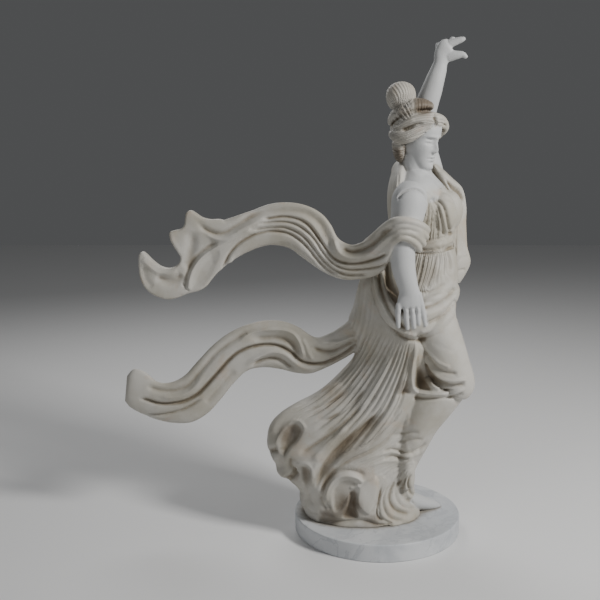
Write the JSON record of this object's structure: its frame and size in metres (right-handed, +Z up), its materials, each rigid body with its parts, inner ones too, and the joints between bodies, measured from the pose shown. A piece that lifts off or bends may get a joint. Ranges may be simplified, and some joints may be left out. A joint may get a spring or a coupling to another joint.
{
  "type": "dancing maiden statue",
  "caption": "Carved marble maiden stepping forward on a round plinth, one arm raised and one lowered, with wind-blown drapery and a mantle whose ends stream out behind her.",
  "frame": {"origin": "centre of the plinth's underside", "axes": "+Z up, +X the way she steps, the streaming ends trail towards -X, the raised arm is on the +Y side"},
  "size_m": [1.4194, 0.68, 1.9895],
  "materials": {
    "figure_marble": "honed warm grey marble with brown dirt in the folds",
    "plinth_marble": "honed cool white-grey marble with faint veins"
  },
  "bodies": {
    "root": {"plinth": "plinth_marble", "figure": "figure_marble"}
  },
  "joints": []
}
